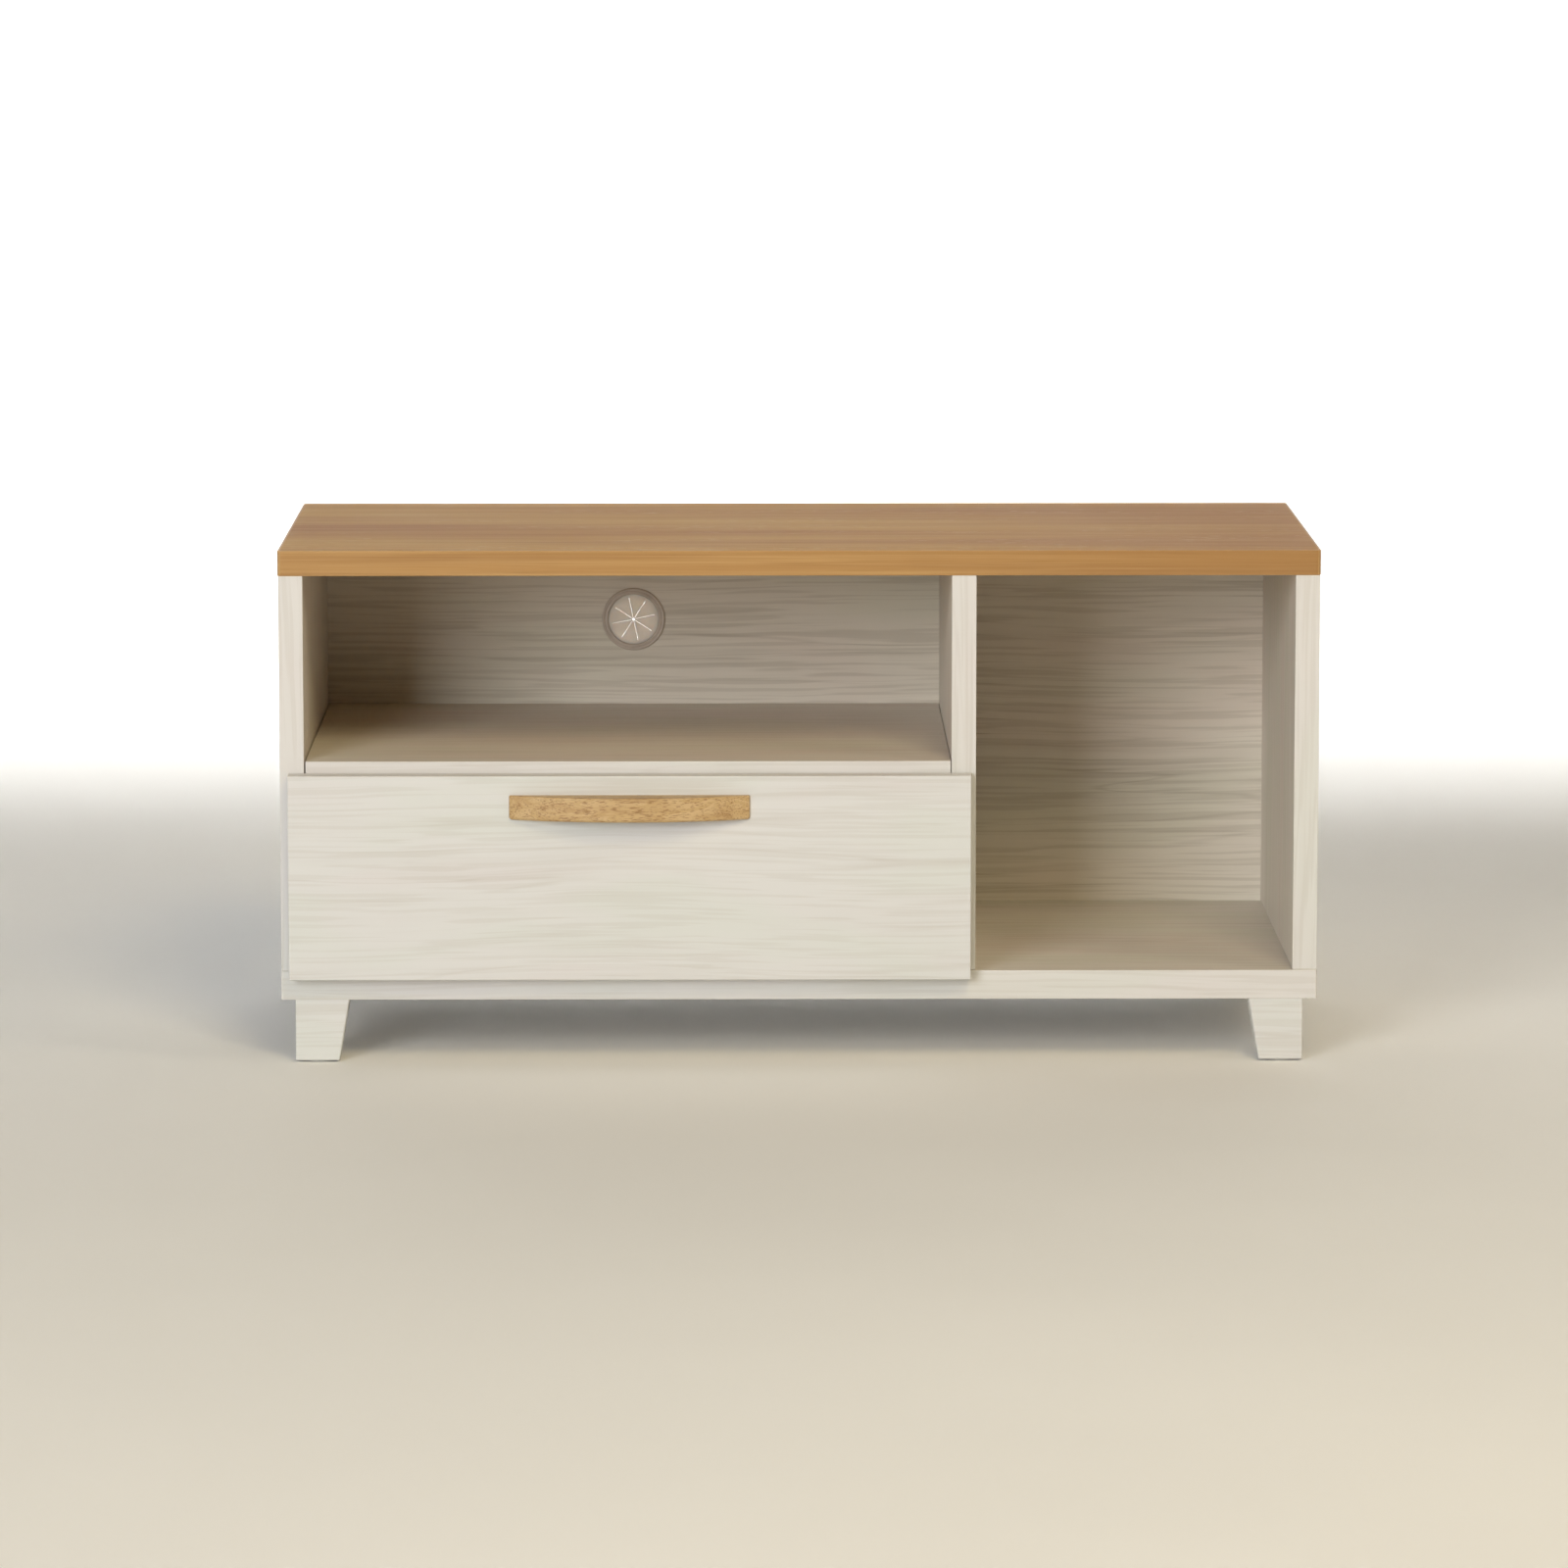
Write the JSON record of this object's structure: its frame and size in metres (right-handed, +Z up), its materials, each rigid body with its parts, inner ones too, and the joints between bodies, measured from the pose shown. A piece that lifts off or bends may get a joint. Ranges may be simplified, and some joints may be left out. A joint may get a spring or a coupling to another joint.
{
  "type": "tv stand",
  "caption": "Low TV stand with a beech-faced top over a white wood-grain carcass: open shelf bay with a roller-run drawer below it, tall open bay beside, cable grommet, short tapered feet.",
  "frame": {"origin": "on the floor, at the middle of the object's footprint box with the drawer shut (handle included)", "axes": "+X to the right seen from the front, along the width; +Y to the back; +Z up"},
  "size_m": [0.895, 0.437, 0.445],
  "materials": {
    "beech_veneer_top": "matte lacquered beech-look veneer, grain along X",
    "beech_edge": "satin beech-look edge strip, grain along its length",
    "beech_handle": "satin solid beech with short dark pores",
    "beech_dowel": "raw fluted beech, hidden",
    "white_grain_foil": "matte whitewashed wood-grain foil",
    "white_grain_edge": "matte whitewashed edge strip, grain along its length",
    "drawer_front_foil": "matte whitewashed wood-grain foil, grain along X",
    "back_board_foil": "matte printed board, grain along X",
    "foot_foil": "matte whitewashed wood-grain wrap, grain along X",
    "drawer_box_foil": "matte off-white drawer board",
    "drawer_bottom_board": "matte off-white thin fibreboard",
    "grommet_plastic": "satin moulded grey-beige plastic",
    "membrane_rubber": "matte soft grey-beige elastomer",
    "glide_plastic": "matte off-white polyethylene",
    "roller_nylon": "satin white nylon",
    "runner_enamel": "satin cream epoxy coating on folded steel",
    "zinc_steel": "satin zinc-plated steel",
    "zinc_casting": "matte zinc die casting",
    "insert_brass": "machined brass, hidden"
  },
  "bodies": {
    "carcass": {"top_panel": "beech_veneer_top", "top_band_front": "beech_edge", "top_band_left": "beech_edge", "top_band_right": "beech_edge", "base_panel": "white_grain_foil", "base_band_front": "white_grain_edge", "base_band_left": "white_grain_edge", "base_band_right": "white_grain_edge", "left_side_panel": "white_grain_foil", "left_side_edge_band": "white_grain_edge", "right_side_panel": "white_grain_foil", "right_side_edge_band": "white_grain_edge", "divider_panel": "white_grain_foil", "divider_edge_band": "white_grain_edge", "shelf_panel": "white_grain_foil", "shelf_edge_band": "white_grain_edge", "left_back_panel": "back_board_foil", "right_back_panel": "back_board_foil", "cable_grommet_ring": "grommet_plastic", "cable_grommet_membrane": "membrane_rubber", "carcass_dowels": "beech_dowel", "base_screws": "zinc_steel", "shelf_cams": "zinc_casting", "shelf_cam_bolts": "zinc_steel", "foot_front_left": "foot_foil", "foot_front_right": "foot_foil", "foot_rear_left": "foot_foil", "foot_rear_right": "foot_foil", "foot_glides": "glide_plastic", "foot_bolts": "zinc_steel", "foot_bolt_inserts": "insert_brass", "foot_dowels": "beech_dowel", "cabinet_runner_left": "runner_enamel", "cabinet_runner_right": "runner_enamel", "cabinet_runner_screws": "zinc_steel", "front_roller_pins": "zinc_steel"},
    "drawer": {"drawer_front": "drawer_front_foil", "drawer_box_front": "drawer_box_foil", "drawer_box_back": "drawer_box_foil", "drawer_box_left_side": "drawer_box_foil", "drawer_box_right_side": "drawer_box_foil", "drawer_bottom": "drawer_bottom_board", "drawer_box_screws": "zinc_steel", "drawer_front_screws": "zinc_steel", "drawer_handle": "beech_handle", "handle_screws": "zinc_steel", "drawer_runner_left": "runner_enamel", "drawer_runner_right": "runner_enamel", "drawer_runner_screws": "zinc_steel", "rear_roller_pins": "zinc_steel"},
    "front_roller_left_body": {"front_roller_left": "roller_nylon"},
    "front_roller_right_body": {"front_roller_right": "roller_nylon"},
    "rear_roller_left_body": {"rear_roller_left": "roller_nylon"},
    "rear_roller_right_body": {"rear_roller_right": "roller_nylon"}
  },
  "joints": [
    {"name": "drawer_slide", "type": "slide", "parent": "carcass", "child": "drawer", "axis": [0, -1, 0], "range_m": [0, 0.27]},
    {"name": "front_roller_left_spin", "type": "hinge", "parent": "carcass", "child": "front_roller_left_body", "pos_m": [-0.4211, -0.162, 0.0948], "axis": [1, 0, 0], "continuous": true},
    {"name": "front_roller_right_spin", "type": "hinge", "parent": "carcass", "child": "front_roller_right_body", "pos_m": [0.1261, -0.162, 0.0948], "axis": [1, 0, 0], "continuous": true},
    {"name": "rear_roller_left_spin", "type": "hinge", "parent": "drawer", "child": "rear_roller_left_body", "pos_m": [-0.4211, 0.1605, 0.0945], "axis": [1, 0, 0], "continuous": true},
    {"name": "rear_roller_right_spin", "type": "hinge", "parent": "drawer", "child": "rear_roller_right_body", "pos_m": [0.1261, 0.1605, 0.0945], "axis": [1, 0, 0], "continuous": true}
  ],
  "couplings": [
    {"joint": "front_roller_left_spin", "follows": "drawer_slide", "rad_per_m": 111.11},
    {"joint": "front_roller_right_spin", "follows": "drawer_slide", "rad_per_m": 111.11},
    {"joint": "rear_roller_left_spin", "follows": "drawer_slide", "rad_per_m": 111.11},
    {"joint": "rear_roller_right_spin", "follows": "drawer_slide", "rad_per_m": 111.11}
  ]
}
